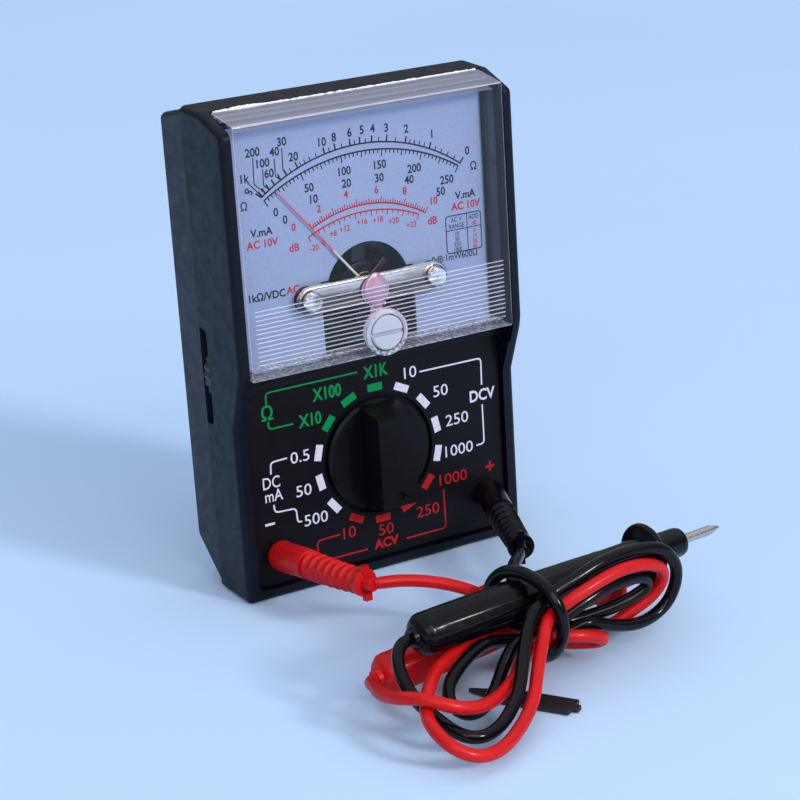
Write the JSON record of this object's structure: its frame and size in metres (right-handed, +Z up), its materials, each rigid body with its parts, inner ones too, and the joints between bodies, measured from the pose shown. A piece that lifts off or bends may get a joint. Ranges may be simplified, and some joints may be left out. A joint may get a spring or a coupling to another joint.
{
  "type": "analog multimeter",
  "caption": "Pocket analog multimeter with a clear window over a moving-coil needle dial, a rotary range selector and a tied bundle of red and black test leads.",
  "frame": {"origin": "middle of the case's bottom edge, on the parting plane between the front case and the rear cover; the case stands on z = 0, and so does the bundle of leads", "axes": "+X to the right as the user sees the front, +Y towards the back, +Z up; the front faces -Y"},
  "size_m": [0.0848, 0.1137, 0.1],
  "materials": {
    "case_plastic": "fine grained black moulding",
    "cover_plastic": "fine grained black moulding",
    "panel": "black, satin, printed in white, green and red",
    "clear_plastic": "clear polished moulding, thinly fluted along its foot",
    "dial": "silvery white, printed in black and red",
    "chrome": "bright plated",
    "steel": "plain bright",
    "iron": "dark plated soft iron",
    "magnet": "ground grey",
    "brass": "plain bright",
    "coil": "lacquered copper winding",
    "needle": "pale shaft with a red end",
    "zero_lever": "pink lacquered tin plate",
    "zero_screw": "white",
    "knob": "black, satin",
    "carrier": "natural white nylon",
    "board": "green lacquered laminate",
    "resistor": "blue lacquer with bands",
    "diode": "amber glass",
    "fuse": "glass body with plated ends",
    "cell": "plain printed sleeve",
    "red_pvc": "glossy red",
    "black_pvc": "glossy black",
    "strap": "black nylon"
  },
  "bodies": {
    "case": {"front_case": "case_plastic", "rear_cover": "cover_plastic", "faceplate": "panel", "window_lens": "clear_plastic", "dial_plate": "dial", "movement_frame": "iron", "yoke_ring": "iron", "core_magnet": "magnet", "bridge": "chrome", "bridge_screw_left": "chrome", "bridge_screw_right": "chrome", "front_jewel_screw": "brass", "rear_jewel_screw": "brass", "movement_screw_left": "steel", "movement_screw_right": "steel", "circuit_board": "board", "board_screw_left": "steel", "board_screw_right": "steel", "resistor_1": "resistor", "resistor_2": "resistor", "resistor_3": "resistor", "diode_1": "diode", "diode_2": "diode", "fuse": "fuse", "fuse_clip_left": "brass", "fuse_clip_right": "brass", "battery_cell": "cell", "battery_contact_positive": "brass", "battery_spring_negative": "steel", "ohm_pot_base": "carrier", "jack_sleeve_negative": "brass", "jack_sleeve_positive": "brass", "rear_screw_1": "steel", "rear_screw_2": "steel", "rear_screw_3": "steel", "rear_screw_4": "steel"},
    "selector": {"selector_knob": "knob", "wiper_carrier": "carrier", "wiper_contact": "brass", "knob_screw": "steel", "detent_ball": "steel", "detent_spring": "steel"},
    "movement": {"moving_coil": "coil", "pointer": "needle", "front_hairspring": "brass", "rear_hairspring": "brass"},
    "zero_screw": {"zero_adjust_screw": "zero_screw"},
    "zero_lever": {"zero_lever": "zero_lever"},
    "thumbwheel": {"ohm_wheel": "knob"},
    "leads": {"red_plug_pin": "chrome", "red_plug_boot": "red_pvc", "red_wire": "red_pvc", "red_probe_handle": "red_pvc", "red_probe_tip": "chrome", "black_plug_pin": "chrome", "black_plug_boot": "black_pvc", "black_wire": "black_pvc", "black_probe_handle": "black_pvc", "black_probe_tip": "chrome", "tie_strap": "strap"}
  },
  "joints": [
    {"name": "selector_turn", "type": "hinge", "parent": "case", "child": "selector", "pos_m": [0, 0, 0.0249], "axis": [0, 1, 0], "continuous": true},
    {"name": "pointer_swing", "type": "hinge", "parent": "case", "child": "movement", "pos_m": [0, 0, 0.06], "axis": [0, 1, 0], "range_deg": [-4, 89]},
    {"name": "zero_screw_turn", "type": "hinge", "parent": "case", "child": "zero_screw", "pos_m": [0, 0, 0.0521], "axis": [0, 1, 0], "range_deg": [-45, 45]},
    {"name": "zero_lever_swing", "type": "hinge", "parent": "case", "child": "zero_lever", "pos_m": [0, 0, 0.06], "axis": [0, 1, 0], "range_deg": [-7, 7]},
    {"name": "ohm_wheel_turn", "type": "hinge", "parent": "case", "child": "thumbwheel", "pos_m": [-0.0236, 0, 0.0458], "axis": [0, 1, 0], "range_deg": [-135, 135]},
    {"name": "leads_unplug", "type": "slide", "parent": "case", "child": "leads", "axis": [0, -1, 0], "range_m": [0, 0.015]}
  ],
  "couplings": [
    {"joint": "zero_lever_swing", "follows": "zero_screw_turn", "ratio": -0.1449}
  ]
}
